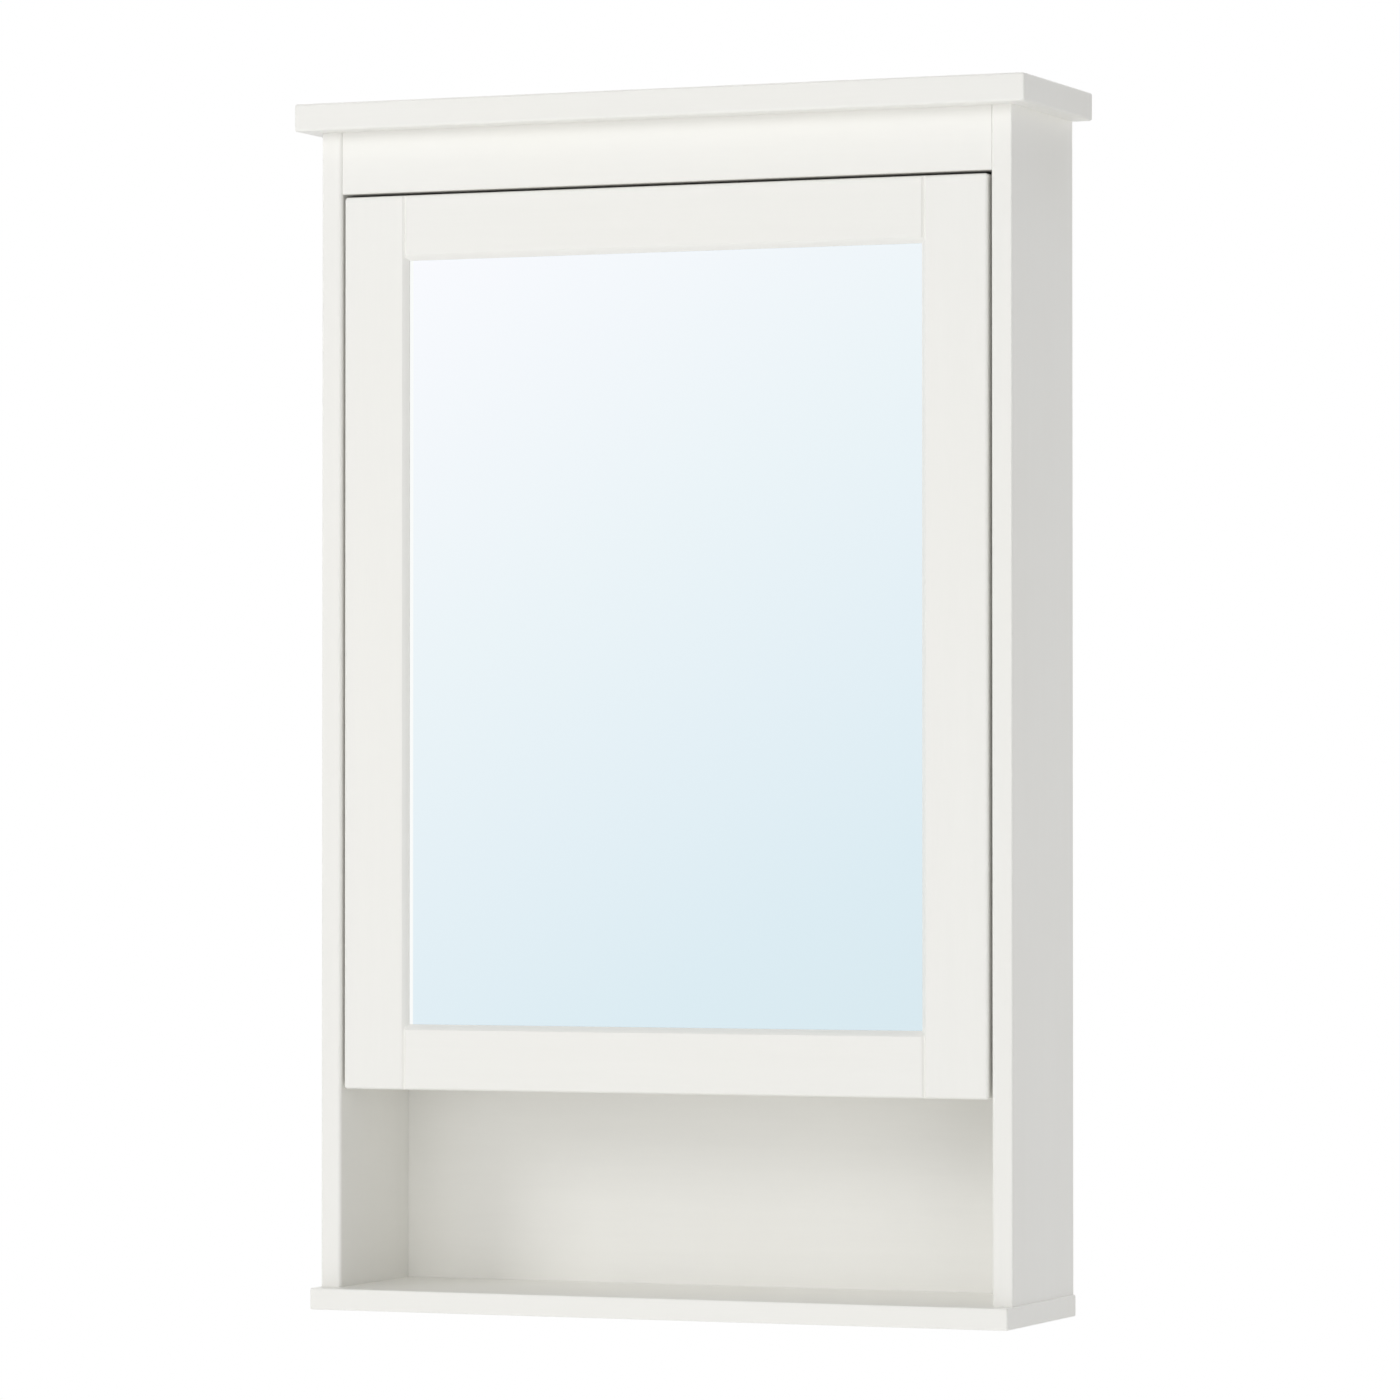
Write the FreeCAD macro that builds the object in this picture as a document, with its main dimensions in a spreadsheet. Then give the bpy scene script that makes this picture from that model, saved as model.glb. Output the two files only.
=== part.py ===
import FreeCAD, Part
import math
import os
import re
import Sketcher
from FreeCAD import Placement, Rotation, Vector

# Hanging wall cabinet: a framed mirror door over an open niche.
# Millimetres; +X is right as seen from the front, +Y is back into the wall, +Z is up.
# The origin is on the wall, midway between the two wall screws.

# ---------------------------------------------------------------- driving dimensions

SIZES = {
    # the whole cabinet
    "cab_width": 630,
    "cab_depth": 164,
    "cab_height": 981,
    # top board: it overhangs the sides and the front
    "top_thick": 22.5,
    "top_side_lip": 16.7,
    "top_front_lip": 18,
    "top_round": 2,
    # the other boards of the carcass
    "side_thick": 17.5,
    "base_thick": 17.5,
    "base_side_lip": 1.8,
    "base_front_gap": 0.5,
    "fascia_high": 51,
    "fascia_gap": 1.8,
    "board_round": 1.5,
    "side_round": 3,
    "shelf_front_gap": 1.5,
    "back_thick": 3,
    "back_inset": 11,
    "groove_deep": 6,
    "groove_slack": 0.1,
    "back_slack": 0.5,
    # hanging rail and its two wall-screw holes
    "rail_high": 60,
    "rail_thick": 18,
    "wall_screw_spacing": 480,
    "wall_screw_radius": 3,
    # door frame: a flat, a V-groove, a bevel and a lip round the mirror
    "door_thick": 20,
    "door_high": 726.2,
    "gap_top": 2.5,
    "gap_hinge": 2.7,
    "gap_latch": 2.9,
    "grip_high": 12,
    "stile_flat": 51.7,
    "rail_flat": 48.5,
    "groove_half": 1.8,
    "groove_depth": 1.5,
    "bevel_wide": 2.7,
    "bevel_depth": 2.9,
    "lip_depth": 0.6,
    "rebate_wide": 9,
    "door_round": 2.5,
    # mirror, its backing board and its beads
    "mirror_thick": 4,
    "mirror_slack": 0.75,
    "backing_thick": 3,
    "bead_wide": 8,
    "bead_round": 2,
    "brad_radius": 0.6,
    "brad_long": 13,
    "brad_tip": 0.3,
    "brad_spacing_up": 240,
    "brad_spacing_across": 168,
    "bumper_radius": 4,
    "bumper_thick": 1.3,
    "bumper_inset": 70,
    # glass shelves on pins, in two columns of holes
    "glass_thick": 5,
    "glass_front_gap": 14,
    "glass_back_gap": 8,
    "glass_side_gap": 2,
    "glass_round": 0.8,
    "pin_radius": 2.5,
    "pin_deep": 8,
    "pin_collar_radius": 4,
    "pin_collar_thick": 1.5,
    "pin_head_radius": 3,
    "pin_head_long": 7,
    "pin_pitch": 32,
    "pin_count": 15,
    "pin_first": 152.2,
    "pin_front_inset": 44,
    "pin_back_inset": 34,
    "pins_between_shelves": 6,
    # cam fittings, dowels and screws
    "cam_radius": 7.5,
    "cam_deep": 13,
    "cam_reach": 34,
    "cam_inset": 36,
    "shelf_joint_inset": 24,
    "bolt_bore_radius": 3.75,
    "bolt_thread_radius": 2.5,
    "bolt_thread_long": 11,
    "bolt_neck_radius": 2,
    "bolt_head_radius": 3.5,
    "bolt_head_long": 4,
    "bolt_collar_long": 3,
    "cam_slot_long": 9,
    "cam_slot_wide": 2,
    "cam_slot_deep": 3,
    "dowel_radius": 4,
    "dowel_long": 30,
    "dowel_tip": 1,
    "door_dowel_half": 20,
    "dowel_shallow": 11,
    "blind_room": 1,
    "fit_slack": 0.05,
    "base_screw_radius": 3.4,
    "base_screw_long": 50,
    "base_screw_head_radius": 5,
    "base_screw_head_long": 3,
    "panel_screw_radius": 1.5,
    "panel_screw_long": 18,
    "panel_screw_head_radius": 3,
    "panel_screw_head_long": 1.8,
    "panel_screw_spacing": 180,
    "screw_slack": 0.1,
    # hinges: a pin in a cup in the door, and a gooseneck arm on a plate on the side panel
    "hinge_inset": 88,
    "pivot_across": 20.5,
    "pivot_depth": 10.7,
    "cup_edge": 4,
    "cup_radius": 17.5,
    "cup_deep": 13.5,
    "cup_wall": 1.2,
    "cup_floor": 1,
    "flange_radius": 18.5,
    "flange_thick": 1.2,
    "ear_half_wide": 8,
    "ear_high": 31,
    "ear_screw_across": 2,
    "ear_screw_up": 24,
    "boss_half_wide": 3,
    "boss_near": 5,
    "boss_far": 14.6,
    "hinge_pin_radius": 1.25,
    "hinge_pin_half": 11.8,
    "eye_radius": 2.8,
    "arm_thick": 3,
    "arm_wide": 9,
    "foot_rear": 82,
    "foot_front": 54,
    "neck_near": 13,
    "neck_far": 35,
    "neck_depth": 44,
    "neck_out": 43.5,
    "neck_turn_depth": 35,
    "stem_across": 41.4,
    "stem_depth": 24.7,
    "plate_thick": 2.5,
    "plate_wing_wide": 14,
    "plate_wing_high": 54,
    "plate_spine_wide": 15,
    "plate_round": 0.8,
    "plate_screw_up": 19,
    "hinge_screw_radius": 1.7,
    "hinge_screw_long": 13,
    "hinge_screw_head_radius": 3.4,
    "hinge_screw_head_long": 1.8,
    # the notch that lets the door's edge swing in past the fixed shelf
    "swing_room_wide": 42,
    "swing_room_deep": 12,
    # magnetic catch on the fixed shelf, and its plate on the door
    "catch_across": 205,
    "catch_wide": 44,
    "catch_deep": 14,
    "catch_high": 13,
    "catch_round": 1.5,
    "catch_magnet_wide": 20,
    "catch_magnet_high": 8,
    "catch_magnet_deep": 10,
    "catch_plate_wide": 22,
    "catch_plate_high": 11,
    "catch_plate_thick": 1,
    "catch_screw_spacing": 33,
    "catch_screw_long": 26,
}

# Places that follow from the sizes, in the cabinet's axes.
PLACES = {
    "side_out": "cab_width / 2 - top_side_lip",
    "side_in": "side_out - side_thick",
    "side_mid": "side_out - side_thick / 2",
    "side_front": "top_front_lip - cab_depth",
    "carcass_top": "rail_high / 2",
    "cab_top": "carcass_top + top_thick",
    "cab_low": "cab_top - cab_height",
    "base_top": "cab_low + base_thick",
    "fascia_low": "carcass_top - fascia_high",
    "fascia_front": "side_front + fascia_gap",
    "fascia_back": "fascia_front + side_thick",
    "door_back": "side_front + door_thick",
    "door_top": "fascia_low - gap_top",
    "door_low": "door_top - door_high",
    "door_left": "gap_hinge - side_in",
    "door_right": "side_in - gap_latch",
    "shelf_low": "door_low + grip_high",
    "shelf_top": "shelf_low + side_thick",
    "shelf_mid": "shelf_low + side_thick / 2",
    "shelf_front": "door_back + shelf_front_gap",
    "back_rear": "-back_inset",
    "back_front": "back_rear - back_thick",
    "rail_low": "carcass_top - rail_high",
    "rail_front": "-rail_thick",
    "groove_end": "side_in + groove_deep",
    "groove_front": "back_front - groove_slack",
    "groove_rear": "back_rear + groove_slack",
    "cam_front": "side_front + cam_inset",
    "cam_back": "-cam_inset",
    "mid_depth": "side_front / 2",
    "dowel_rest": "dowel_long - dowel_shallow + blind_room",
    "base_screw_hole": "base_screw_radius + screw_slack",
    "panel_screw_hole": "panel_screw_radius + screw_slack",
    "frame_edge": "groove_half + bevel_wide",
    "lip_back": "groove_depth + bevel_depth + lip_depth",
    "stile_back": "stile_flat + frame_edge - rebate_wide",
    "rail_back": "rail_flat + frame_edge - rebate_wide",
    "mirror_front": "side_front + lip_back",
    "mirror_back": "mirror_front + mirror_thick",
    "backing_back": "mirror_back + backing_thick",
    "rebate_left": "door_left + stile_back",
    "rebate_right": "door_right - stile_back",
    "rebate_low": "door_low + rail_back",
    "rebate_top": "door_top - rail_back",
    "door_dowel_depth": "(mirror_front + door_back) / 2",
    "pivot_x": "pivot_across - side_in",
    "pivot_y": "side_front + pivot_depth",
    "cup_x": "door_left + cup_edge + cup_radius",
    "cup_inner": "cup_radius - cup_wall",
    "boss_x": "pivot_x - cup_x",
    "boss_depth": "pivot_y - door_back",
    "arm_x": "plate_thick + arm_thick / 2 - side_in",
    "foot_rear_y": "side_front + foot_rear",
    "foot_front_y": "side_front + foot_front",
    "foot_mid_y": "side_front + (foot_rear + foot_front) / 2",
    "hinge_screw_hole": "hinge_screw_radius + screw_slack",
    "hinge_pin_hole": "hinge_pin_radius + fit_slack",
    "catch_front": "shelf_front",
    "catch_back": "catch_front + catch_deep",
    "catch_top": "shelf_top + catch_high",
    "catch_mid": "shelf_top + catch_high / 2",
    "catch_screw_depth": "catch_front + catch_deep / 2",
    "pin_low": "shelf_top + pin_first",
    "pin_front": "side_front + pin_front_inset",
    "pin_back": "back_front - pin_back_inset",
}

SIZE_NAME = re.compile(r"\b(" + "|".join(SIZES) + r")\b")
PLACE_NAME = re.compile(r"\b(" + "|".join(PLACES) + r")\b")

# Turns that lay a part's own Z axis along a direction of the cabinet.
ALONG = {
    "+z": Rotation(),
    "-z": Rotation(Vector(1, 0, 0), 180),
    "+x": Rotation(Vector(0, 1, 0), 90),
    "-x": Rotation(Vector(0, 1, 0), -90),
    "+y": Rotation(Vector(1, 0, 0), -90),
    "-y": Rotation(Vector(1, 0, 0), 90),
}
TINY = 1e-4

# Where the cross members meet the side panels: depth and height of each bolt and dowel.
FASCIA_BOLTS = [("fascia_back - side_thick / 2", "carcass_top - fascia_high / 4")]
FASCIA_DOWELS = [("fascia_back - side_thick / 2", "fascia_low + fascia_high / 4")]
RAIL_BOLTS = [("rail_front + side_thick / 2", "rail_high / 4")]
RAIL_DOWELS = [("rail_front + side_thick / 2", "-rail_high / 4")]
SHELF_BOLTS = [
    ("shelf_front + shelf_joint_inset", "shelf_mid"), ("back_front - shelf_joint_inset", "shelf_mid"),
]
SHELF_DOWELS = [("mid_depth", "shelf_mid")]
SIDE_BOLTS = FASCIA_BOLTS + RAIL_BOLTS + SHELF_BOLTS
SIDE_DOWELS = FASCIA_DOWELS + RAIL_DOWELS + SHELF_DOWELS
DOOR_DOWELS = [
    "door_low + rail_back / 4", "door_low + rail_back * 3 / 4",
    "door_top - rail_back / 4", "door_top - rail_back * 3 / 4",
]
SHELF_COUNT = 3
HINGE_HAND = "-"
PLATE_SCREWS = [("foot_mid_y", "plate_screw_up"), ("foot_mid_y", "-plate_screw_up"), ("foot_mid_y", "0")]
HINGES = {"hinge_upper": "door_top - hinge_inset", "hinge_lower": "door_low + hinge_inset"}
CATCH_SCREWS = ("catch_across - catch_screw_spacing / 2", "catch_across + catch_screw_spacing / 2")
PIN_COLUMNS = ("pin_front", "pin_back")
PANEL_SCREWS = ("-panel_screw_spacing", "0", "panel_screw_spacing")

doc = FreeCAD.newDocument("wall_cabinet")
sheet = doc.addObject("Spreadsheet::Sheet", "sizes")
for row, (alias, value) in enumerate(SIZES.items(), start=1):
    sheet.set(f"A{row}", alias)
    sheet.set(f"B{row}", str(value))
    sheet.setAlias(f"B{row}", alias)
doc.recompute()


# ---------------------------------------------------------------- formulas and placing

def formula(text):
    """Write a formula of plain names as one that reads the sheet's cells."""
    text = str(text)
    while PLACE_NAME.search(text):
        text = PLACE_NAME.sub(lambda found: f"({PLACES[found.group()]})", text)
    return SIZE_NAME.sub(r"sizes.\1", text)


def bind(item, **formulas):
    """Bind properties of an object to formulas."""
    for name, text in formulas.items():
        item.setExpression(name, formula(text))


def place(item, at, turn=Rotation()):
    """Put an object at a point given as three formulas."""
    item.Placement = Placement(Vector(), turn)
    for axis, text in zip("xyz", at):
        item.setExpression(f"Placement.Base.{axis}", formula(text))
    return item


def add(kind, label):
    """A new object of the document with its own label."""
    made = doc.addObject(kind, label)
    made.Label = label
    return made


def fit_between(item, low, high):
    """Give a box the size of the space between two corners."""
    length, width, height = (f"({end}) - ({start})" for start, end in zip(low, high))
    bind(item, Length=length, Width=width, Height=height)


def edges_where(shape, wanted):
    """Names of a shape's edges that wanted(x, y, z) picks.

    An edge is known by where its middle lies: -1, 0 or 1 along each axis,
    for the low side, the inside or the high side of the shape's box.
    """
    box = shape.BoundBox
    names = []
    for number, edge in enumerate(shape.Edges, start=1):
        middle = edge.valueAt((edge.FirstParameter + edge.LastParameter) / 2)
        spot = []
        for value, low, high in zip(middle, (box.XMin, box.YMin, box.ZMin), (box.XMax, box.YMax, box.ZMax)):
            spot.append(-1 if value < low + TINY else 1 if value > high - TINY else 0)
        if wanted(*spot):
            names.append(f"Edge{number}")
    return names


def sketch_on(body, role):
    """An empty sketch on one of the body's own origin planes."""
    sketch = body.newObject("Sketcher::SketchObject", "outline")
    plane = next(item for item in body.Origin.OriginFeatures if item.Role == role)
    sketch.AttachmentSupport = (plane, [""])
    sketch.MapMode = "FlatFace"
    return sketch


def pin_point(sketch, curve, end, x, y):
    """Hold a point of a curve at two formulas, measured from the sketch's origin."""
    for kind, text in (("DistanceX", x), ("DistanceY", y)):
        number = sketch.addConstraint(Sketcher.Constraint(kind, -1, 1, curve, end, 1.0))
        sketch.setExpression(f"Constraints[{number}]", formula(text))


def draw_polygon(sketch, corners):
    """Draw a closed outline of straight lines through corners given as formulas."""
    count = len(corners)
    turn = 2 * math.pi / count
    start = sketch.GeometryCount
    for number in range(count):
        here = Vector(math.cos(turn * number), math.sin(turn * number), 0)
        there = Vector(math.cos(turn * (number + 1)), math.sin(turn * (number + 1)), 0)
        sketch.addGeometry(Part.LineSegment(here, there))
    for number, (x, y) in enumerate(corners):
        following = start + (number + 1) % count
        sketch.addConstraint(Sketcher.Constraint("Coincident", start + number, 2, following, 1))
        pin_point(sketch, start + number, 1, x, y)


def draw_path(sketch, points):
    """Draw an open run of straight lines through points given as formulas."""
    for number in range(len(points) - 1):
        here, there = Vector(number, number ** 2, 0), Vector(number + 1, (number + 1) ** 2, 0)
        line = sketch.addGeometry(Part.LineSegment(here, there))
        pin_point(sketch, line, 1, *points[number])
        if number > 0:
            sketch.addConstraint(Sketcher.Constraint("Coincident", line - 1, 2, line, 1))
    pin_point(sketch, sketch.GeometryCount - 1, 2, *points[-1])


def pad(body, sketch, length, reverse=False, both_ways=False):
    """Pad a sketch, along its plane's normal unless told otherwise."""
    made = body.newObject("PartDesign::Pad", "pad")
    made.Profile = sketch
    made.Reversed = reverse
    made.SideType = "Symmetric" if both_ways else "One side"
    bind(made, Length=length)
    return made


def pocket_through(body, sketch):
    """Cut a sketch through the whole body, both ways from its plane."""
    made = body.newObject("PartDesign::Pocket", "pocket")
    made.Profile = sketch
    made.Type = "ThroughAll"
    made.SideType = "Symmetric"
    return made


def new_body(label, at, turn=Rotation()):
    return place(add("PartDesign::Body", label), at, turn)


def revolved(label, outline, at=(0, 0, 0), turn=Rotation()):
    """A turned piece: its outline, of radius and height, goes round its own Z axis."""
    body = new_body(label, at, turn)
    sketch = sketch_on(body, "XZ_Plane")
    draw_polygon(sketch, outline)
    made = body.newObject("PartDesign::Revolution", "turned")
    made.Profile = sketch
    made.ReferenceAxis = (sketch, ["V_Axis"])
    made.Angle = 360
    return body


def group(label, pieces):
    """One node that holds several separate, identical pieces."""
    made = add("Part::Compound", label)
    made.Links = pieces
    return made


def copies(label, master, spots):
    """A group of copies of one piece, each at a point and along a direction."""
    pieces = []
    for number, (at, direction) in enumerate(spots, start=1):
        copy = add("App::Link", f"{label}_{number}")
        copy.LinkedObject = master
        copy.LinkTransform = False
        pieces.append(place(copy, at, ALONG[direction]))
    return group(label, pieces)


def box_feature(body, kind, low, high):
    """Add or cut a box between two corners, in the body's own axes; kind is Additive or Subtractive."""
    made = body.newObject(f"PartDesign::{kind}Box", "block")
    fit_between(made, low, high)
    return place(made, low)


def round_feature(body, kind, at, direction, radius, length):
    """Add or cut a cylinder from a point along a direction, in the body's own axes."""
    made = body.newObject(f"PartDesign::{kind}Cylinder", "round")
    bind(made, Radius=radius, Height=length)
    return place(made, at, ALONG[direction])


class Piece:
    """A sub-part as a body; every point given to it is in the cabinet's axes."""

    def __init__(self, label, at, turn=Rotation()):
        self.at = at
        self.body = new_body(label, at, turn)

    def own(self, point):
        """A point of the cabinet, measured from the piece's own origin."""
        return [f"({value}) - ({start})" for value, start in zip(point, self.at)]

    def ease(self, base, radius, wanted):
        """Round the edges of a feature that wanted(x, y, z) picks."""
        doc.recompute()
        fillet = self.body.newObject("PartDesign::Fillet", "eased_edges")
        fillet.Base = (base, edges_where(base.Shape, wanted))
        bind(fillet, Radius=radius)
        return fillet

    def drill(self, at, direction, radius, depth):
        """A round hole from a point on the surface into the piece."""
        return round_feature(self.body, "Subtractive", self.own(at), direction, radius, depth)

    def slot(self, low, high):
        """A square groove between two corners."""
        box_feature(self.body, "Subtractive", self.own(low), self.own(high))

    def repeat_up(self, hole, pitch, count):
        """Repeat a hole upwards at a fixed pitch."""
        row = self.body.newObject("PartDesign::LinearPattern", "hole_row")
        row.Originals = [hole]
        upright = next(item for item in self.body.Origin.OriginFeatures if item.Role == "Z_Axis")
        row.Direction = (upright, [""])
        row.Mode = "Spacing"
        bind(row, Offset=pitch, Occurrences=count)
        self.body.Tip = row


def board(label, low, high, *rounds):
    """A rectangular board between two corners; each round is a radius and the edges it is for."""
    made = Piece(label, low)
    latest = made.body.newObject("PartDesign::AdditiveBox", "block")
    fit_between(latest, low, high)
    for radius, wanted in rounds:
        latest = made.ease(latest, radius, wanted)
    return made


# ---------------------------------------------------------------- carcass

def front_and_sides(x, y, z):
    """The edges of a shown board all round except at the wall."""
    return y < 0 or (x != 0 and y == 0)


def inward(hand):
    """The direction from the side panel on this hand towards the middle."""
    return "-x" if hand == "+" else "+x"


def span(hand, near, far):
    """The low and high X of a stretch that runs from near to far of the middle, on one hand."""
    return (near, far) if hand == "+" else (f"-({far})", f"-({near})")


def top_board():
    top = board(
        "top_board",
        ("-cab_width / 2", "-cab_depth", "carcass_top"),
        ("cab_width / 2", "0", "cab_top"),
        ("top_round", front_and_sides),
    )
    for hand in "-+":
        for depth in ("cam_front", "cam_back"):
            bolt = (f"{hand}side_mid", depth, "carcass_top")
            top.drill(bolt, "+z", "bolt_thread_radius", "bolt_thread_long")
        top.drill((f"{hand}side_mid", "mid_depth", "carcass_top"), "+z", "dowel_radius", "dowel_shallow")
    return top


def side_panel(label, hand):
    """A side panel; hand is the sign of its X."""
    low_x, high_x = span(hand, "side_in", "side_out")
    outer = int(f"{hand}1")
    side = board(
        label, (low_x, "side_front", "base_top"), (high_x, "0", "carcass_top"),
        ("board_round", lambda x, y, z: x == outer and y < 0),
        ("side_round", lambda x, y, z: x == -outer and y < 0),
    )
    inner = f"{hand}side_in"
    middle = f"{hand}side_mid"
    outward = f"{hand}x"
    low_x, high_x = span(hand, "side_in", "groove_end")
    side.slot((low_x, "groove_front", "base_top"), (high_x, "groove_rear", "carcass_top"))
    for depth in ("cam_front", "cam_back"):
        side.drill((middle, depth, "carcass_top"), "-z", "bolt_bore_radius", "cam_reach")
        side.drill((inner, depth, "carcass_top - cam_reach"), outward, "cam_radius", "cam_deep")
        side.drill((middle, depth, "base_top"), "+z", "base_screw_hole", "base_screw_long - base_thick")
    side.drill((middle, "mid_depth", "carcass_top"), "-z", "dowel_radius", "dowel_rest")
    side.drill((middle, "mid_depth", "base_top"), "+z", "dowel_radius", "dowel_rest")
    for depth, height in SIDE_BOLTS:
        side.drill((inner, depth, height), outward, "bolt_thread_radius", "bolt_thread_long")
    for depth, height in SIDE_DOWELS:
        side.drill((inner, depth, height), outward, "dowel_radius", "dowel_shallow")
    for column in PIN_COLUMNS:
        hole = side.drill((inner, column, "pin_low"), outward, "pin_radius", "pin_deep")
        side.repeat_up(hole, "pin_pitch", "pin_count")
    if hand == HINGE_HAND:
        for height in HINGES.values():
            for depth, up in PLATE_SCREWS:
                pilot = (inner, depth, f"{height} + {up}")
                side.drill(pilot, outward, "hinge_screw_hole", "hinge_screw_long")
    return side


def bottom_board():
    base = board(
        "bottom_board",
        ("-(side_out + base_side_lip)", "base_front_gap - cab_depth", "cab_low"),
        ("side_out + base_side_lip", "0", "base_top"),
        ("board_round", front_and_sides),
    )
    base.slot(("-groove_end", "groove_front", "base_top - groove_deep"),
              ("groove_end", "groove_rear", "base_top"))
    for hand in "-+":
        for depth in ("cam_front", "cam_back"):
            under = (f"{hand}side_mid", depth, "cab_low")
            base.drill(under, "+z", "base_screw_hole", "base_thick")
            base.drill(under, "+z", "base_screw_head_radius + screw_slack", "base_screw_head_long")
        base.drill((f"{hand}side_mid", "mid_depth", "base_top"), "-z", "dowel_radius", "dowel_shallow")
    return base


def drill_for_joints(member, bolts, dowels, face, direction):
    """Drill both ends of a cross member for its bolts and dowels, and its face for the cams."""
    for hand in "-+":
        for depth, height in bolts:
            member.drill((f"{hand}side_in", depth, height), inward(hand), "bolt_bore_radius", "cam_reach")
            cam = [f"{hand}(side_in - cam_reach)", depth, height]
            axis = "xyz".index(direction[1])
            cam[axis] = face
            member.drill(cam, direction, "cam_radius", "cam_deep")
        for depth, height in dowels:
            member.drill((f"{hand}side_in", depth, height), inward(hand), "dowel_radius", "dowel_rest")


def fascia():
    made = board(
        "fascia",
        ("-side_in", "fascia_front", "fascia_low"), ("side_in", "fascia_back", "carcass_top"),
        ("board_round", lambda x, y, z: y < 0 and z < 0),
    )
    drill_for_joints(made, FASCIA_BOLTS, FASCIA_DOWELS, "fascia_back", "-y")
    return made


def hanging_rail():
    made = board("hanging_rail", ("-side_in", "rail_front", "rail_low"), ("side_in", "0", "carcass_top"))
    made.slot(("-side_in", "groove_front", "rail_low"),
              ("side_in", "groove_rear", "rail_low + groove_deep"))
    drill_for_joints(made, RAIL_BOLTS, RAIL_DOWELS, "rail_front", "+y")
    for hand in "-+":
        at = (f"{hand}wall_screw_spacing / 2", "rail_front", "0")
        made.drill(at, "+y", "wall_screw_radius", "rail_thick")
    return made


def fixed_shelf():
    made = board(
        "fixed_shelf",
        ("-side_in", "shelf_front", "shelf_low"), ("side_in", "back_front", "shelf_top"),
        ("board_round", lambda x, y, z: y < 0 and z != 0),
    )
    made.slot(("-side_in", "shelf_front", "shelf_low"),
              ("swing_room_wide - side_in", "door_back + swing_room_deep", "shelf_top"))
    drill_for_joints(made, SHELF_BOLTS, SHELF_DOWELS, "shelf_low", "+z")
    for across in PANEL_SCREWS:
        made.drill((across, "back_front", "shelf_mid"), "-y", "panel_screw_hole", "panel_screw_long")
    for across in CATCH_SCREWS:
        pilot = (across, "catch_screw_depth", "shelf_top")
        made.drill(pilot, "-z", "hinge_screw_hole", "catch_screw_long - catch_high")
    return made


def back_panel():
    made = board(
        "back_panel",
        ("back_slack - groove_end", "back_front", "base_top - groove_deep + back_slack"),
        ("groove_end - back_slack", "back_rear", "rail_low + groove_deep - back_slack"),
    )
    for across in PANEL_SCREWS:
        made.drill((across, "back_rear", "shelf_mid"), "-y", "panel_screw_hole", "back_thick")
    return made


def glass_shelf(number, height):
    return board(
        f"glass_shelf_{number}",
        ("glass_side_gap - side_in", "door_back + glass_front_gap", height),
        ("side_in - glass_side_gap", "back_front - glass_back_gap", f"{height} + glass_thick"),
        ("glass_round", lambda x, y, z: True),
    )


# ---------------------------------------------------------------- door

def frame_section(flat):
    """The section of a door member, from its outer edge: distance across and depth."""
    rebate = f"{flat} + frame_edge - rebate_wide"
    return [
        ("0", "0"),
        (flat, "0"),
        (f"{flat} + groove_half", "groove_depth"),
        (f"{flat} + frame_edge", "groove_depth + bevel_depth"),
        (f"{flat} + frame_edge", "lip_back"),
        (rebate, "lip_back"),
        (rebate, "door_thick"),
        ("0", "door_thick"),
    ]


def door_stile(label, edge, hand):
    """A full-height upright of the door; hand is the side of the door that it is on."""
    stile = Piece(label, (edge, "side_front", "door_low"))
    inwards = "" if hand == "-" else "-"
    outline = sketch_on(stile.body, "XY_Plane")
    draw_polygon(outline, [(f"{inwards}({across})", depth) for across, depth in frame_section("stile_flat")])
    upright = pad(stile.body, outline, "door_high")
    outer = int(f"{hand}1")
    stile.ease(upright, "door_round", lambda x, y, z: (x == outer, y != 0, z != 0).count(True) == 2)
    inner_face = "rebate_left" if hand == "-" else "rebate_right"
    for height in DOOR_DOWELS:
        stile.drill((inner_face, "door_dowel_depth", height), f"{hand}x", "dowel_radius", "door_dowel_half")
    if hand == HINGE_HAND:
        for height in HINGES.values():
            stile.drill(("cup_x", "door_back", height), "-y", "cup_radius + fit_slack", "cup_deep")
            for up in ("ear_screw_up", "-ear_screw_up"):
                at = ("cup_x + ear_screw_across", "door_back", f"{height} + {up}")
                stile.drill(at, "-y", "hinge_screw_hole", "hinge_screw_long")
    return stile


def door_rail(label, edge, hand, stiles):
    """A cross member of the door, coped over the stiles' bevels; hand is the sign of its outer side."""
    rail = Piece(f"{label}_blank", ("rebate_left", "side_front", edge))
    inwards = "" if hand == "-" else "-"
    outline = sketch_on(rail.body, "YZ_Plane")
    draw_polygon(outline, [(depth, f"{inwards}({across})") for across, depth in frame_section("rail_flat")])
    length = "rebate_right - rebate_left"
    beam = pad(rail.body, outline, length)
    outer = int(f"{hand}1")
    rail.ease(beam, "door_round", lambda x, y, z: x == 0 and y != 0 and z == outer)
    grooves = sketch_on(rail.body, "XY_Plane")
    for start, way in (("stile_flat - stile_back", 1), (f"{length} - (stile_flat - stile_back)", -1)):
        draw_polygon(grooves, [
            (f"{start} - {way} * groove_half", "-groove_depth"),
            (f"{start} + {way} * groove_half", "groove_depth"),
            (f"{start} + {way} * 3 * groove_half", "-groove_depth"),
        ])
    pocket_through(rail.body, grooves)
    for height in DOOR_DOWELS:
        if height.startswith(edge):
            rail.drill(("rebate_left", "door_dowel_depth", height), "+x", "dowel_radius", "door_dowel_half")
            rail.drill(("rebate_right", "door_dowel_depth", height), "-x", "dowel_radius", "door_dowel_half")
    coped = add("Part::Cut", label)
    coped.Base = rail.body
    coped.Tool = group(f"{label}_cope", [stile.body for stile in stiles])
    return coped


def mirror_sheet(label, front, back):
    """The mirror or its backing board, in the rebate of the frame."""
    return board(
        label,
        ("rebate_left + mirror_slack", front, "rebate_low + mirror_slack"),
        ("rebate_right - mirror_slack", back, "rebate_top - mirror_slack"),
    )


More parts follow.
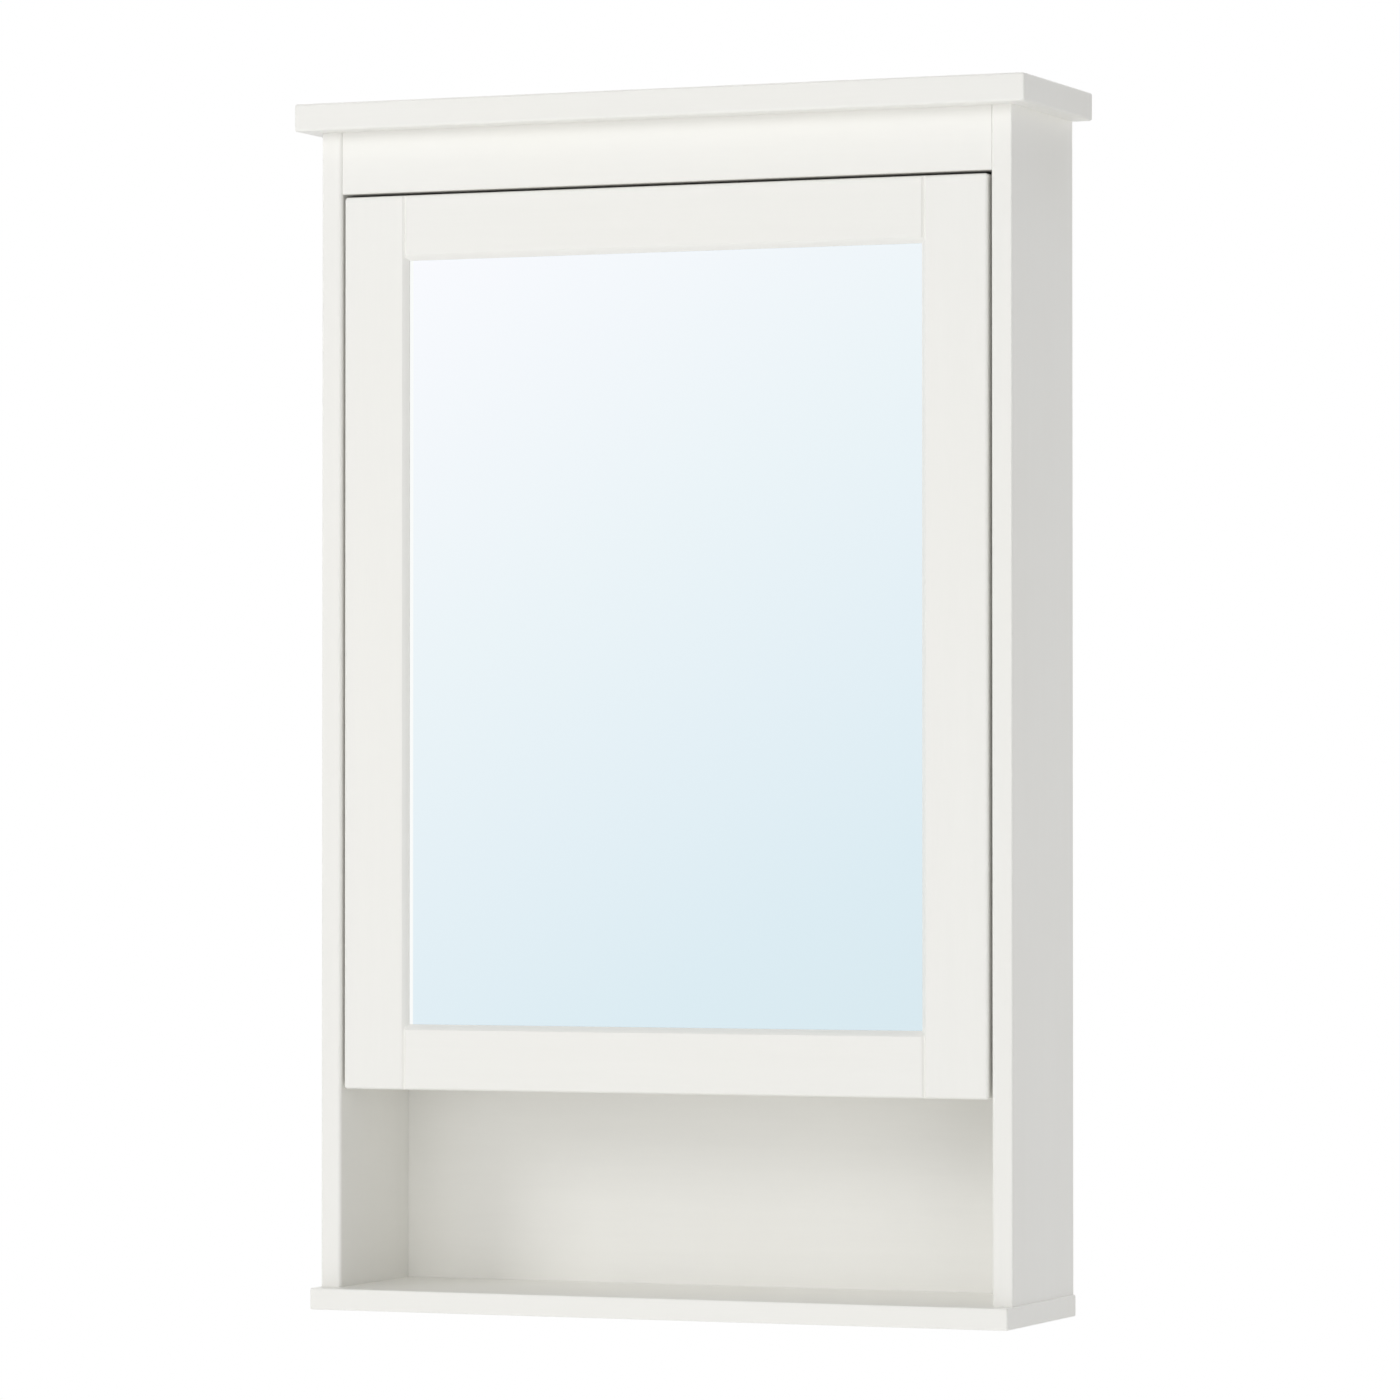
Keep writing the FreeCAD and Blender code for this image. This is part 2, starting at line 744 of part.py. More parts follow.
def door_beads():
    """Four beads that hold the mirror in its rebate; the upright ones stand between the others."""
    low, high = "rebate_low + bead_wide", "rebate_top - bead_wide"
    left, right = "rebate_left + bead_wide", "rebate_right - bead_wide"
    return [
        board("bead_left", ("rebate_left", "backing_back", low), (left, "door_back", high),
              ("bead_round", lambda x, y, z: x > 0 and y > 0)),
        board("bead_right", (right, "backing_back", low), ("rebate_right", "door_back", high),
              ("bead_round", lambda x, y, z: x < 0 and y > 0)),
        board("bead_bottom",
              ("rebate_left", "backing_back", "rebate_low"), ("rebate_right", "door_back", low),
              ("bead_round", lambda x, y, z: z > 0 and y > 0)),
        board("bead_top",
              ("rebate_left", "backing_back", high), ("rebate_right", "door_back", "rebate_top"),
              ("bead_round", lambda x, y, z: z < 0 and y > 0)),
    ]


# ---------------------------------------------------------------- hinges

def hinge_plate(name, height):
    """A cross-shaped plate screwed to the side panel's inner face."""
    wing_low = f"{height} - plate_wing_high / 2"
    plate = Piece(f"{name}_plate", ("-side_in", "foot_mid_y - plate_wing_wide / 2", wing_low))
    wing_high = ("plate_thick - side_in", "foot_mid_y + plate_wing_wide / 2",
                 f"{height} + plate_wing_high / 2")
    wing = box_feature(plate.body, "Additive", ("0", "0", "0"), plate.own(wing_high))
    plate.ease(wing, "plate_round", lambda x, y, z: x > 0)
    box_feature(
        plate.body, "Additive",
        plate.own(("-side_in", "foot_front_y", f"{height} - plate_spine_wide / 2")),
        plate.own(("plate_thick - side_in", "foot_rear_y", f"{height} + plate_spine_wide / 2")),
    )
    for depth, up in PLATE_SCREWS:
        plate.drill(("-side_in", depth, f"{height} + {up}"), "+x", "hinge_screw_hole", "plate_thick")
    return plate.body


def hinge_arm(name, height):
    """A flat bar bent into a gooseneck: a foot on the plate, a neck, and an eye on the cup's pin."""
    arm = Piece(f"{name}_arm", ("arm_x", "foot_rear_y", height))
    bends = [
        ("arm_x", "foot_rear_y"),
        ("arm_x", "foot_front_y"),
        ("neck_near - side_in", "side_front + neck_depth"),
        ("neck_far - side_in", "side_front + neck_depth"),
        ("neck_out - side_in", "side_front + neck_turn_depth"),
        ("stem_across - side_in", "side_front + stem_depth"),
        ("pivot_x", "pivot_y"),
    ]
    path = sketch_on(arm.body, "XY_Plane")
    draw_path(path, [arm.own((x, y, height))[:2] for x, y in bends])
    section = sketch_on(arm.body, "XZ_Plane")
    half_thick, half_wide = "arm_thick / 2", "arm_wide / 2"
    draw_polygon(section, [
        (half_thick, half_wide), (f"-{half_thick}", half_wide),
        (f"-{half_thick}", f"-{half_wide}"), (half_thick, f"-{half_wide}"),
    ])
    bar = arm.body.newObject("PartDesign::AdditivePipe", "bent_bar")
    bar.Profile = section
    bar.Spine = path
    bar.Transition = "Round corner"
    eye = arm.own(("pivot_x", "pivot_y", f"{height} - arm_wide / 2"))
    round_feature(arm.body, "Additive", eye, "+z", "eye_radius", "arm_wide")
    round_feature(arm.body, "Subtractive", eye, "+z", "hinge_pin_hole", "arm_wide")
    arm.drill(("plate_thick - side_in", "foot_mid_y", height), "+x", "hinge_screw_hole", "arm_thick")
    return arm.body


def hinge_cup(name, height):
    """The cup in the door's back. Its own Z points out of the door and its own Y points down."""
    cup = revolved(f"{name}_cup", [
        ("0", "-cup_deep"),
        ("cup_radius", "-cup_deep"),
        ("cup_radius", "0"),
        ("flange_radius", "0"),
        ("flange_radius", "flange_thick"),
        ("cup_inner", "flange_thick"),
        ("cup_inner", "cup_floor - cup_deep"),
        ("0", "cup_floor - cup_deep"),
    ], ("cup_x", "door_back", height), ALONG["+y"])
    for low, high in (("cup_radius", "ear_high"), ("-ear_high", "-cup_radius")):
        box_feature(cup, "Additive", ("-ear_half_wide", low, "0"), ("ear_half_wide", high, "flange_thick"))
    for low, high in (("boss_near", "boss_far"), ("-boss_far", "-boss_near")):
        box_feature(
            cup, "Additive",
            ("boss_x - boss_half_wide", low, "cup_floor - cup_deep"),
            ("boss_x + boss_half_wide", high, "boss_depth + boss_half_wide"),
        )
    round_feature(cup, "Subtractive", ("boss_x", "-hinge_pin_half", "boss_depth"), "+y",
                  "hinge_pin_hole", "2 * hinge_pin_half")
    for up in ("ear_screw_up", "-ear_screw_up"):
        round_feature(cup, "Subtractive", ("ear_screw_across", up, "0"), "+z",
                      "hinge_screw_hole", "flange_thick")
    return cup


def hinge_pin(name, height):
    """The upright pin across the cup that the arm's eye turns on."""
    made = add("Part::Cylinder", f"{name}_pin")
    bind(made, Radius="hinge_pin_radius", Height="2 * hinge_pin_half")
    return place(made, ("pivot_x", "pivot_y", f"{height} - hinge_pin_half"))


def hinge_screws(name, height, master):
    """Two screws and the arm's screw in the side panel, and two screws in the door."""
    on_plate = "plate_thick + hinge_screw_head_long"
    on_arm = "plate_thick + arm_thick + hinge_screw_head_long"
    fixed = []
    for depth, up in PLATE_SCREWS:
        rise = on_arm if up == "0" else on_plate
        fixed.append(((f"{rise} - side_in", depth, f"{height} + {up}"), "-x"))
    proud = "door_back + flange_thick + hinge_screw_head_long"
    turning = [(("cup_x + ear_screw_across", proud, f"{height} + {up}"), "-y")
               for up in ("ear_screw_up", "-ear_screw_up")]
    return [copies(f"{name}_plate_screws", master, fixed), copies(f"{name}_cup_screws", master, turning)]


def hinges():
    master = screw("hinge_screw_master", "hinge_screw_head_radius", "hinge_screw_head_long",
                   "hinge_screw_radius", "hinge_screw_head_long + hinge_screw_long")
    made = []
    for name, height in HINGES.items():
        made += [hinge_plate(name, height), hinge_arm(name, height), hinge_cup(name, height)]
        made += [hinge_pin(name, height)] + hinge_screws(name, height, master)
    return made


# ---------------------------------------------------------------- magnetic catch

def magnet_space(slack):
    """The two corners of the magnet's pocket, or of the magnet itself, which is smaller by a slack."""
    half_wide = f"(catch_magnet_wide / 2 - {slack})"
    half_high = f"(catch_magnet_high / 2 - {slack})"
    low = (f"catch_across - {half_wide}", "catch_front", f"catch_mid - {half_high}")
    high = (f"catch_across + {half_wide}", f"catch_front + catch_magnet_deep - {slack}",
            f"catch_mid + {half_high}")
    return low, high


def catch_case():
    case = board(
        "catch_case",
        ("catch_across - catch_wide / 2", "catch_front", "shelf_top"),
        ("catch_across + catch_wide / 2", "catch_back", "catch_top"),
        ("catch_round", lambda x, y, z: z > 0 or (x != 0 and y != 0)),
    )
    case.slot(*magnet_space("0"))
    for across in CATCH_SCREWS:
        case.drill((across, "catch_screw_depth", "shelf_top"), "+z", "hinge_screw_hole", "catch_high")
    return case.body


def catch_magnet():
    return board("catch_magnet", *magnet_space("fit_slack")).body


def catch_screws():
    """Two screws through the catch's case into the fixed shelf."""
    master = screw("catch_screw_master", "hinge_screw_head_radius", "hinge_screw_head_long",
                   "hinge_screw_radius", "hinge_screw_head_long + catch_screw_long")
    height = "catch_top + hinge_screw_head_long"
    spots = [((across, "catch_screw_depth", height), "-z") for across in CATCH_SCREWS]
    return copies("catch_screws", master, spots)


def catch_plate():
    """A thin steel plate on the door's back, opposite the magnet."""
    return board(
        "catch_plate",
        ("catch_across - catch_plate_wide / 2", "door_back", "catch_mid - catch_plate_high / 2"),
        ("catch_across + catch_plate_wide / 2", "door_back + catch_plate_thick",
         "catch_mid + catch_plate_high / 2"),
    ).body


# ---------------------------------------------------------------- fasteners

def cam_nuts():
    """Round cams; each lies in a blind hole and has a bore across it for the bolt's head."""
    cam = Piece("cam_nut_master", ("0", "0", "0"))
    disc = cam.body.newObject("PartDesign::AdditiveCylinder", "disc")
    bind(disc, Radius="cam_radius - fit_slack", Height="cam_deep")
    cam.drill(("-cam_radius", "0", "side_thick / 2"), "+x", "bolt_bore_radius", "2 * cam_radius")
    long, short = "cam_slot_long / 2", "cam_slot_wide / 2"
    cam.slot((f"-{long}", f"-{short}", "0"), (long, short, "cam_slot_deep"))
    cam.slot((f"-{short}", f"-{long}", "0"), (short, long, "cam_slot_deep"))
    spots = []
    for hand in "-+":
        across = f"{hand}(side_in - cam_reach)"
        for depth in ("cam_front", "cam_back"):
            spots.append(((f"{hand}side_in", depth, "carcass_top - cam_reach"), f"{hand}x"))
        spots += [((across, "fascia_back", height), "-y") for depth, height in FASCIA_BOLTS]
        spots += [((across, "rail_front", height), "+y") for depth, height in RAIL_BOLTS]
        spots += [((across, depth, "shelf_low"), "+z") for depth, height in SHELF_BOLTS]
    return copies("cam_nuts", cam.body, spots)


def cam_bolts():
    """Bolts screwed into one board, with a head that a cam in the other board pulls on."""
    bolt = revolved("cam_bolt_master", [
        ("0", "0"),
        ("bolt_thread_radius - fit_slack", "0"),
        ("bolt_thread_radius - fit_slack", "bolt_thread_long"),
        ("bolt_head_radius", "bolt_thread_long"),
        ("bolt_head_radius", "bolt_thread_long + bolt_collar_long"),
        ("bolt_neck_radius", "bolt_thread_long + bolt_collar_long"),
        ("bolt_neck_radius", "bolt_thread_long + cam_reach - bolt_head_long / 2"),
        ("bolt_head_radius", "bolt_thread_long + cam_reach - bolt_head_long / 2"),
        ("bolt_head_radius", "bolt_thread_long + cam_reach + bolt_head_long / 2"),
        ("0", "bolt_thread_long + cam_reach + bolt_head_long / 2"),
    ])
    spots = []
    for hand in "-+":
        for depth in ("cam_front", "cam_back"):
            spots.append(((f"{hand}side_mid", depth, "carcass_top + bolt_thread_long"), "-z"))
        for depth, height in SIDE_BOLTS:
            spots.append(((f"{hand}(side_in + bolt_thread_long)", depth, height), inward(hand)))
    return copies("cam_bolts", bolt, spots)


def rod(label, radius, length, tip):
    """A round rod with its ends tapered a little."""
    return revolved(label, [
        ("0", "0"), (f"{radius} - {tip}", "0"), (radius, tip),
        (radius, f"{length} - {tip}"), (f"{radius} - {tip}", length), ("0", length),
    ])


def carcass_dowels():
    dowel = rod("carcass_dowel_master", "dowel_radius - fit_slack", "dowel_long", "dowel_tip")
    spots = []
    for hand in "-+":
        spots.append(((f"{hand}side_mid", "mid_depth", "carcass_top + dowel_shallow"), "-z"))
        spots.append(((f"{hand}side_mid", "mid_depth", "base_top - dowel_shallow"), "+z"))
        for depth, height in SIDE_DOWELS:
            spots.append(((f"{hand}(side_in + dowel_shallow)", depth, height), inward(hand)))
    return copies("carcass_dowels", dowel, spots)


def door_dowels():
    dowel = rod("door_dowel_master", "dowel_radius - fit_slack",
                "2 * (door_dowel_half - blind_room)", "dowel_tip")
    spots = []
    for height in DOOR_DOWELS:
        spots.append((("rebate_left - door_dowel_half + blind_room", "door_dowel_depth", height), "+x"))
        spots.append((("rebate_right + door_dowel_half - blind_room", "door_dowel_depth", height), "-x"))
    return copies("door_dowels", dowel, spots)


def screw(label, head_radius, head_long, radius, length):
    """A flat-headed screw, head first: its own Z axis runs from the head to the point."""
    return revolved(label, [
        ("0", "0"), (head_radius, "0"), (head_radius, head_long), (radius, head_long),
        (radius, f"{length} - {radius}"), ("0", length),
    ])


def base_screws():
    master = screw("base_screw_master", "base_screw_head_radius", "base_screw_head_long",
                   "base_screw_radius", "base_screw_long")
    corners = [(hand, depth) for hand in "-+" for depth in ("cam_front", "cam_back")]
    spots = [((f"{hand}side_mid", depth, "cab_low"), "+z") for hand, depth in corners]
    return copies("base_screws", master, spots)


def back_panel_screws():
    master = screw("panel_screw_master", "panel_screw_head_radius", "panel_screw_head_long",
                   "panel_screw_radius", "panel_screw_long + panel_screw_head_long")
    behind = "back_rear + panel_screw_head_long"
    spots = [((across, behind, "shelf_mid"), "-y") for across in PANEL_SCREWS]
    return copies("back_panel_screws", master, spots)


def bead_brads():
    """Headless brads through the beads into the frame."""
    brad = rod("brad_master", "brad_radius", "brad_long", "brad_tip")
    mid_high, mid_across = "(rebate_low + rebate_top) / 2", "(rebate_left + rebate_right) / 2"
    depth = "(backing_back + door_back) / 2"
    spots = []
    for step in (-1, 0, 1):
        height = f"{mid_high} + {step} * brad_spacing_up"
        across = f"{mid_across} + {step} * brad_spacing_across"
        spots.append((("rebate_left + bead_wide", depth, height), "-x"))
        spots.append((("rebate_right - bead_wide", depth, height), "+x"))
        spots.append(((across, depth, "rebate_low + bead_wide"), "-z"))
        spots.append(((across, depth, "rebate_top - bead_wide"), "+z"))
    return copies("bead_brads", brad, spots)


def door_bumpers():
    bumper = revolved("bumper_master", [
        ("0", "0"), ("bumper_radius", "0"), ("bumper_radius", "bumper_thick / 2"),
        ("bumper_radius - bumper_thick / 2", "bumper_thick"), ("0", "bumper_thick"),
    ])
    spots = [(("door_left + bumper_inset", "door_back", "shelf_mid"), "+y"),
             (("door_right - bumper_inset", "door_back", "shelf_mid"), "+y")]
    return copies("door_bumpers", bumper, spots)


def shelf_pins(number, height, master):
    """The four pins under one glass shelf."""
    spots = [((f"{hand}side_in", column, height), inward(hand)) for hand in "-+" for column in PIN_COLUMNS]
    return copies(f"shelf_pins_{number}", master, spots)


def shelf_pin_master():
    """A pin with a plug for the side panel's hole, a collar, and a stub that the glass lies on."""
    return revolved("shelf_pin_master", [
        ("0", "blind_room - pin_deep"),
        ("pin_radius - fit_slack", "blind_room - pin_deep"),
        ("pin_radius - fit_slack", "0"),
        ("pin_collar_radius", "0"),
        ("pin_collar_radius", "pin_collar_thick"),
        ("pin_head_radius", "pin_collar_thick"),
        ("pin_head_radius", "pin_collar_thick + pin_head_long"),
        ("0", "pin_collar_thick + pin_head_long"),
    ])


def shelves():
    """Three glass shelves, each on four pins in the side panels' columns of holes."""
    master = shelf_pin_master()
    made = []
    for number in range(1, SHELF_COUNT + 1):
        height = f"pin_low + (1 + {number - 1} * pins_between_shelves) * pin_pitch"
        made.append(glass_shelf(number, f"{height} + pin_head_radius").body)
        made.append(shelf_pins(number, height, master))
    return made


# ---------------------------------------------------------------- building and writing

def sound(item):
    """Stop if an object failed, which a recompute does not report by itself."""
    if "Invalid" in item.State or "Error" in item.State:
        raise RuntimeError(f"{item.Label} ({item.Name}) failed: {item.State}")


stile_left = door_stile("door_stile_left", "door_left", "-")
stile_right = door_stile("door_stile_right", "door_right", "+")
stiles = (stile_left, stile_right)
boards = [
    top_board(), side_panel("side_panel_left", "-"), side_panel("side_panel_right", "+"),
    bottom_board(), fascia(), hanging_rail(), fixed_shelf(), back_panel(),
    stile_left, stile_right,
    mirror_sheet("mirror_glass", "mirror_front", "mirror_back"),
    mirror_sheet("mirror_backing", "mirror_back", "backing_back"),
]
nodes = [piece.body for piece in boards + door_beads()]
nodes += [
    door_rail("door_rail_bottom", "door_low", "-", stiles),
    door_rail("door_rail_top", "door_top", "+", stiles),
    cam_nuts(), cam_bolts(), carcass_dowels(), base_screws(), back_panel_screws(),
    door_dowels(), bead_brads(), door_bumpers(),
]
nodes += shelves() + hinges() + [catch_case(), catch_magnet(), catch_screws(), catch_plate()]
doc.recompute()
for item in doc.Objects:
    sound(item)
os.makedirs("parts", exist_ok=True)
for node in nodes:
    shape = node.Shape
    if shape.isNull() or not shape.isValid():
        raise RuntimeError(f"{node.Label} has no sound shape")
    shape.exportStep(f"parts/{node.Label}.step")
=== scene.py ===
import math

import bmesh
import bpy
from mathutils import Matrix, Vector


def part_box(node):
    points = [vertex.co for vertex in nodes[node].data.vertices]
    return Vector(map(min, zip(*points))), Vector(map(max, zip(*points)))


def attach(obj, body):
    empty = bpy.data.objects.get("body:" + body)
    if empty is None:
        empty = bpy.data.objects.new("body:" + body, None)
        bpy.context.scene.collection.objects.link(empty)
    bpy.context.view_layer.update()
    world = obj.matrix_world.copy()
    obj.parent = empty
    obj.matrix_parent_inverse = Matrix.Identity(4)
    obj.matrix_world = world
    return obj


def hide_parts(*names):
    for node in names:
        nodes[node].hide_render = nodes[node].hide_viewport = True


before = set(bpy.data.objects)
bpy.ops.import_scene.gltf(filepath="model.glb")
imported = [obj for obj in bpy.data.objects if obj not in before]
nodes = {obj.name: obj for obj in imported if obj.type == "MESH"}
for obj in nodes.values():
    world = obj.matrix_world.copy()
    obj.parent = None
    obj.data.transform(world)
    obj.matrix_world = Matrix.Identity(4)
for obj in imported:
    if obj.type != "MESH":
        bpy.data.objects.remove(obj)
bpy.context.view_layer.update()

# ---------------------------------------------------------------- node materials

MIX_SHARE, MIX_FIRST, MIX_SECOND, MIX_COLOUR = 0, 6, 7, 2  # the Mix node's sockets for colours
GRAIN_ALONG = 0.035   # noise scale along the grain, next to 1 across it
BARE_BOARD = ((0.20, 0.115, 0.06, 1.0), (0.33, 0.205, 0.115, 1.0))
FLOAT_GLASS = ((0.95, 0.99, 0.975, 1), (0.98, 1.0, 0.99, 1))
GLASS_EDGE = (0.62, 0.88, 0.80, 1)
GLASS_EDGE_CLEAR = 0.45   # share of light let through at the edges, so that they aren't black
ZINC = (0.70, 0.70, 0.67)
MIRROR_EDGE_IN, MIRROR_EDGE_OUT = 0.0120, 0.0112   # the painted reflection's white strip: its border, from the glass's left


class Recipe:
    """A node material built step by step on one Principled shader."""

    def __init__(self, name):
        self.material = bpy.data.materials.new(name)
        self.material.use_nodes = True
        self.tree = self.material.node_tree
        self.shader = self.tree.nodes["Principled BSDF"]
        self.coordinates = self.node("ShaderNodeTexCoord")
        self.place = self.coordinates.outputs["Object"]

    def node(self, kind, links=None, **settings):
        made = self.tree.nodes.new(kind)
        for key, value in settings.items():
            setattr(made, key, value)
        for key, value in (links or {}).items():
            self.feed(made.inputs[key], value)
        return made

    def feed(self, socket, value):
        if isinstance(value, bpy.types.NodeSocket):
            self.tree.links.new(value, socket)
        else:
            socket.default_value = value

    def set(self, **values):
        """Set shader inputs; an underscore in a name stands for a space."""
        for key, value in values.items():
            self.feed(self.shader.inputs[key.replace("_", " ")], value)

    def math(self, operation, first, second=0.0, clamp=False):
        made = self.node("ShaderNodeMath", {0: first, 1: second},
                         operation=operation, use_clamp=clamp)
        return made.outputs[0]

    def noise(self, scale, stretch=(1, 1, 1), detail=3.0, rough=0.55, shift=(0, 0, 0)):
        at = self.node("ShaderNodeMapping", {
            "Vector": self.place, "Scale": stretch, "Location": shift})
        made = self.node("ShaderNodeTexNoise", {
            "Vector": at.outputs[0], "Scale": scale, "Detail": detail, "Roughness": rough})
        return made.outputs["Fac"]

    def spread(self, value, low, high, to_low=0.0, to_high=1.0):
        made = self.node("ShaderNodeMapRange", {
            "Value": value, "From Min": low, "From Max": high, "To Min": to_low, "To Max": to_high})
        return made.outputs[0]

    def blend(self, share, first, second):
        made = self.node("ShaderNodeMix", data_type="RGBA")
        self.feed(made.inputs[MIX_SHARE], share)
        self.feed(made.inputs[MIX_FIRST], first)
        self.feed(made.inputs[MIX_SECOND], second)
        return made.outputs[MIX_COLOUR]

    def bumps(self, *layers):
        """Stack of (height, distance in metres) bumps, fed to the shader's normal."""
        normal = None
        for height, distance in layers:
            made = self.node("ShaderNodeBump", {
                "Height": height, "Distance": distance, "Strength": 1.0})
            if normal:
                self.feed(made.inputs["Normal"], normal)
            normal = made.outputs[0]
        self.feed(self.shader.inputs["Normal"], normal)


def rgb(*value):
    """Shader colour from display values of 0 to 255."""
    linear = []
    for v in value:
        v /= 255
        linear.append(v / 12.92 if v <= 0.04045 else ((v + 0.055) / 1.055) ** 2.4)
    return (*linear, 1.0)


def shade(tone, *factors):
    """Opaque colour: the tone times one factor, or one for each channel, no brighter than 1."""
    factors = factors * 3 if len(factors) == 1 else factors
    return (*(min(1.0, c * factor) for c, factor in zip(tone, factors)), 1.0)


def grain_stretch(along):
    """Noise scale on each axis for a grain that runs along one of them."""
    return tuple(GRAIN_ALONG if axis == along else 1.0 for axis in "xyz")


def paint(name, along, shine=0.34, grain=1.0, raw_rear=False):
    """Sprayed satin paint over wood or board: faint grain, slight unevenness, fine orange peel, and
    painted shade that darkens its creases.

    With raw_rear, faces that look to +Y are bare fibreboard instead.
    """
    tone = (0.931, 0.924, 0.889)
    mat = Recipe(name)
    fine = mat.noise(900, grain_stretch(along), detail=4)
    broad = mat.noise(90, grain_stretch(along), detail=3, shift=(3, 1, 2))
    cloud = mat.noise(5, detail=2, shift=(7, 4, 1))
    peel = mat.noise(650, detail=2, shift=(1, 9, 5))
    streak = mat.math("ADD", mat.math("MULTIPLY", fine, 0.5), mat.math("MULTIPLY", broad, 0.5))
    colour = mat.blend(mat.spread(streak, 0.32, 0.68), shade(tone, 0.987), shade(tone, 1.004))
    warm = shade(tone, 1.0, 0.996, 0.98)
    colour = mat.blend(mat.spread(cloud, 0.35, 0.75, 0.0, 0.35), colour, warm)
    # Painted shade: where ambient occlusion finds creases and grooves within 4 mm, the colour goes
    # up to a tenth of the way toward a darker tone.
    painted_crease_shade = mat.node("ShaderNodeAmbientOcclusion", {"Distance": 0.004}, samples=6)
    colour = mat.blend(mat.spread(painted_crease_shade.outputs["AO"], 0.0, 0.7, 0.10, 0.0), colour,
                       shade(tone, 0.55, 0.55, 0.5))
    rough = mat.spread(cloud, 0.3, 0.7, shine - 0.04, shine + 0.06)
    if raw_rear:
        facing = mat.node("ShaderNodeSeparateXYZ", {0: mat.coordinates.outputs["Normal"]})
        rear = mat.spread(facing.outputs["Y"], 0.4, 0.6)
        fibre = mat.noise(420, (1.0, 1.0, 0.35), detail=6, rough=0.7, shift=(8, 2, 6))
        board = mat.blend(mat.spread(fibre, 0.35, 0.65), *BARE_BOARD)
        colour = mat.blend(rear, colour, board)
        rough = mat.math("ADD", rough, mat.math("MULTIPLY", rear, 0.45), clamp=True)
    mat.set(Base_Color=colour, Specular_IOR_Level=0.5, Roughness=rough)
    mat.bumps((fine, 0.00006 * grain), (broad, 0.00012 * grain), (peel, 0.00002))
    return mat.material


def mirror():
    """Silvered glass with a painted reflection: white at the upper left, pale blue towards
    the lower right, and a white strip down its left edge."""
    mat = Recipe("mirror_silver")
    low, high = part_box("mirror_glass")
    parts = mat.node("ShaderNodeSeparateXYZ", {0: mat.place})
    across = mat.spread(parts.outputs["X"], low.x, high.x)
    down = mat.spread(parts.outputs["Z"], high.z, low.z)
    slope = mat.math("ADD", mat.math("MULTIPLY", across, 0.3), mat.math("MULTIPLY", down, 0.7))
    drift = mat.math("MULTIPLY", mat.math("SUBTRACT", mat.noise(1.3, detail=1), 0.5), 0.05)
    # Painted reflection: the colour runs from white at the upper left to pale blue at the lower
    # right.
    ramp = mat.node("ShaderNodeValToRGB", {0: mat.math("ADD", slope, drift)})
    steps = ((0.0, rgb(250, 251, 255)), (0.22, rgb(242, 247, 251)), (0.40, rgb(235, 244, 248)),
             (0.60, rgb(228, 240, 246)), (0.82, rgb(220, 236, 243)), (1.0, rgb(216, 233, 240)))
    colours = ramp.color_ramp
    while len(colours.elements) < len(steps):
        colours.elements.new(0.5)
    for element, (position, colour) in zip(colours.elements, steps):
        element.position, element.color = position, colour
    film = mat.noise(14, detail=4, shift=(2, 6, 3))
    # Painted reflection: a white strip down the left edge, where the glass reflects the frame's
    # lip.
    strip = mat.spread(parts.outputs["X"], low.x + MIRROR_EDGE_IN, low.x + MIRROR_EDGE_OUT)
    silver = mat.blend(strip, ramp.outputs[0], rgb(250, 252, 251))
    mat.set(Base_Color=silver, Metallic=1.0, Roughness=mat.spread(film, 0.35, 0.7, 0.012, 0.03))
    ripple = mat.noise(9, detail=1, shift=(5, 5, 5))
    mat.bumps((ripple, 0.00002))
    return mat.material


def metal(name, tone, rough, along, brushed=0.00002):
    """Plated or cast metal with fine lines along one axis and cloudy tone."""
    mat = Recipe(name)
    lines = mat.noise(1600, grain_stretch(along), detail=3)
    cloud = mat.noise(160, detail=3, shift=(4, 2, 8))
    colour = mat.blend(mat.spread(cloud, 0.3, 0.7), shade(tone, 0.86), shade(tone, 1.06))
    mat.set(Base_Color=colour, Metallic=1.0,
            Roughness=mat.spread(lines, 0.3, 0.7, rough - 0.06, rough + 0.08))
    mat.bumps((lines, brushed))
    return mat.material


def raw_wood(name, tone, along):
    """Unfinished wood with grain along one axis."""
    mat = Recipe(name)
    fine = mat.noise(700, grain_stretch(along), detail=5)
    colour = mat.blend(mat.spread(fine, 0.3, 0.7), shade(tone, 0.72), shade(tone, 1.1))
    mat.set(Base_Color=colour, Roughness=0.65)
    mat.bumps((fine, 0.0001))
    return mat.material


def plastic(name, tone, rough=0.45):
    """Moulded plastic or rubber with a fine surface texture."""
    mat = Recipe(name)
    cloud = mat.noise(60, detail=3)
    peel = mat.noise(1800, detail=2, shift=(3, 3, 3))
    colour = mat.blend(mat.spread(cloud, 0.3, 0.7), shade(tone, 0.93), shade(tone, 1.03))
    mat.set(Base_Color=colour,
            Roughness=mat.spread(peel, 0.3, 0.7, rough - 0.05, rough + 0.05))
    mat.bumps((peel, 0.00002))
    return mat.material


def clear_glass():
    """Float glass: clear through its faces, pale green and partly opaque at its edges."""
    mat = Recipe("shelf_clear_glass")
    film = mat.noise(25, detail=4)
    facing = mat.node("ShaderNodeSeparateXYZ", {0: mat.coordinates.outputs["Normal"]})
    edge = mat.spread(mat.math("ABSOLUTE", facing.outputs["Z"]), 0.9, 0.3)
    clear = mat.blend(mat.spread(film, 0.3, 0.7), *FLOAT_GLASS)
    mat.set(Base_Color=mat.blend(edge, clear, GLASS_EDGE),
            Roughness=mat.spread(film, 0.35, 0.7, 0.0, 0.035), IOR=1.5,
            Transmission_Weight=mat.spread(edge, 0.0, 1.0, 1.0, GLASS_EDGE_CLEAR))
    return mat.material


# ---------------------------------------------------------------- dressing the CAD nodes

